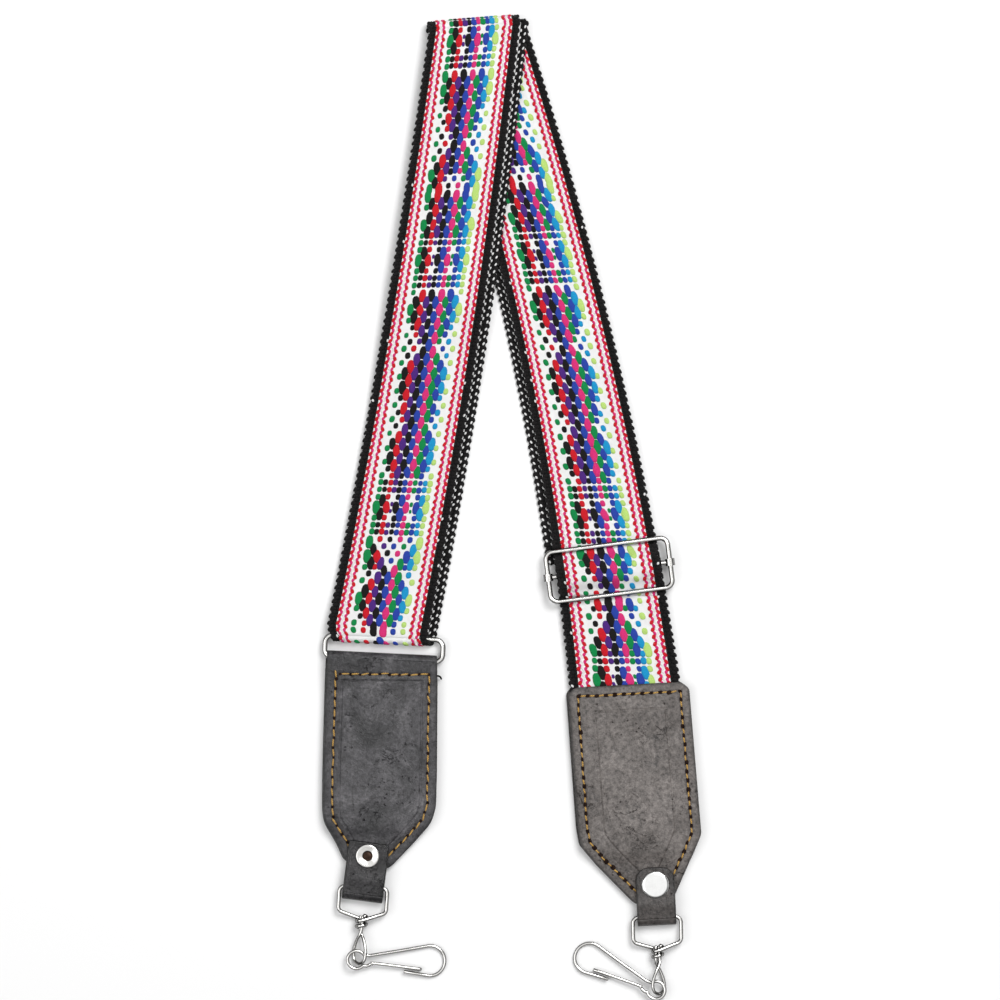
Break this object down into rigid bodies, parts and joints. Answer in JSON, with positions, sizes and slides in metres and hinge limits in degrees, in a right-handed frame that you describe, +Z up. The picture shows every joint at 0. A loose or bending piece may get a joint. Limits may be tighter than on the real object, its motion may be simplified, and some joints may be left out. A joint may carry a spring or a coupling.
{
  "type": "guitar strap",
  "caption": "Adjustable woven guitar strap, folded in half, with a wire slider, an oval ring, leather end tabs and a swivelling wire hook at each end.",
  "frame": {"origin": "middle of the folded strap's outline, on the surface it lies on", "axes": "+X across the folded strap towards the slider arm, +Y along the arms towards the fold, +Z up from the surface"},
  "size_m": [0.1721, 0.4476, 0.0096],
  "materials": {
    "webbing": "hand-woven cotton, multicoloured floats on a white ground, black edges",
    "charcoal_leather": "waxed and mottled",
    "grey_leather": "waxed, smooth",
    "board": "raw",
    "thread": "waxed thread",
    "nickel": "bright nickel plate"
  },
  "bodies": {
    "root": {"right_arm_band": "webbing", "right_arm_return_band": "webbing", "fold_inner_band": "webbing", "fold_outer_band": "webbing", "right_front_leather": "grey_leather", "right_back_leather": "grey_leather", "right_tab_stiffener": "board", "right_tab_stitching": "thread", "right_tongue_bend": "grey_leather", "right_snap_stud": "nickel", "right_snap_post": "nickel"},
    "slider": {"slider_frame": "nickel", "slider_bar": "nickel", "slider_arch_band": "webbing", "bar_loop_band": "webbing"},
    "left_arm": {"left_arm_band": "webbing", "left_arm_return_band": "webbing", "ring_turn_band": "webbing"},
    "ring": {"oval_ring": "nickel"},
    "left_tab": {"left_tab_leather": "charcoal_leather", "left_tab_stiffener": "board", "left_tab_stitching": "thread", "left_tongue_bend": "charcoal_leather", "left_snap_stud": "nickel", "left_snap_post": "nickel"},
    "left_flap": {"left_tongue_flap": "charcoal_leather", "left_snap_cap": "nickel", "left_snap_socket": "nickel"},
    "left_loop": {"left_loop": "nickel"},
    "left_swivel": {"left_swivel_eye": "nickel"},
    "left_hook": {"left_hook": "nickel"},
    "left_gate": {"left_hook_gate": "nickel"},
    "right_flap": {"right_tongue_flap": "grey_leather", "right_snap_cap": "nickel", "right_snap_socket": "nickel"},
    "right_loop": {"right_loop": "nickel"},
    "right_swivel": {"right_swivel_eye": "nickel"},
    "right_hook": {"right_hook": "nickel"},
    "right_gate": {"right_hook_gate": "nickel"}
  },
  "joints": [
    {"name": "strap_fold", "type": "hinge", "parent": "root", "child": "left_arm", "pos_m": [-0.01627, 0.22109, 0.0039], "axis": [-0.9969, -0.0785, 0], "range_deg": [0, 180], "deforming": ["fold_inner_band", "fold_outer_band"]},
    {"name": "strap_length_slide", "type": "slide", "parent": "root", "child": "slider", "axis": [-0.185, 0.9827, 0], "range_m": [-0.03, 0.1]},
    {"name": "ring_swing", "type": "hinge", "parent": "left_arm", "child": "ring", "pos_m": [-0.05835, -0.05961, 0.0031], "axis": [0.9988, -0.0488, 0], "range_deg": [-70, 70]},
    {"name": "left_tab_swing", "type": "hinge", "parent": "ring", "child": "left_tab", "pos_m": [-0.05885, -0.06979, 0.0031], "axis": [0.9988, -0.0488, 0], "range_deg": [-70, 70]},
    {"name": "left_flap_open", "type": "hinge", "parent": "left_tab", "child": "left_flap", "pos_m": [-0.0682, -0.1761, 0.00325], "axis": [0.9917, -0.1288, 0], "range_deg": [0, 80], "deforming": ["left_tongue_bend"]},
    {"name": "left_loop_swing", "type": "hinge", "parent": "left_tab", "child": "left_loop", "pos_m": [-0.06779, -0.17293, 0.00325], "axis": [0.998, -0.0628, 0], "range_deg": [-75, 75]},
    {"name": "left_swivel_turn", "type": "hinge", "parent": "left_loop", "child": "left_swivel", "pos_m": [-0.06883, -0.18949, 0.00325], "axis": [0.0628, 0.998, 0], "continuous": true},
    {"name": "left_hook_swing", "type": "hinge", "parent": "left_swivel", "child": "left_hook", "pos_m": [-0.07107, -0.20599, 0.00325], "axis": [0.0628, 0, 0.998], "range_deg": [-180, 20]},
    {"name": "left_gate_open", "type": "hinge", "parent": "left_hook", "child": "left_gate", "pos_m": [-0.06369, -0.20789, 0.00279], "axis": [0.0628, 0, 0.998], "range_deg": [0, 10], "stiffness_Nm_per_rad": 0.01, "springref_deg": -2.86},
    {"name": "right_flap_open", "type": "hinge", "parent": "root", "child": "right_flap", "pos_m": [0.0653, -0.1872, 0.00325], "axis": [0.9986, 0.0523, 0], "range_deg": [0, 80], "deforming": ["right_tongue_bend"]},
    {"name": "right_loop_swing", "type": "hinge", "parent": "root", "child": "right_loop", "pos_m": [0.06527, -0.1866, 0.00325], "axis": [0.9997, 0.0262, 0], "range_deg": [-75, 75]},
    {"name": "right_swivel_turn", "type": "hinge", "parent": "right_loop", "child": "right_swivel", "pos_m": [0.0657, -0.20319, 0.00325], "axis": [-0.0262, 0.9997, 0], "continuous": true},
    {"name": "right_hook_swing", "type": "hinge", "parent": "right_swivel", "child": "right_hook", "pos_m": [0.06494, -0.21982, 0.00325], "axis": [-0.0561, 0.0281, 0.998], "range_deg": [-20, 180]},
    {"name": "right_gate_open", "type": "hinge", "parent": "right_hook", "child": "right_gate", "pos_m": [0.05748, -0.21821, 0.00279], "axis": [0.0561, -0.0281, -0.998], "range_deg": [0, 10], "stiffness_Nm_per_rad": 0.01, "springref_deg": -2.86}
  ]
}
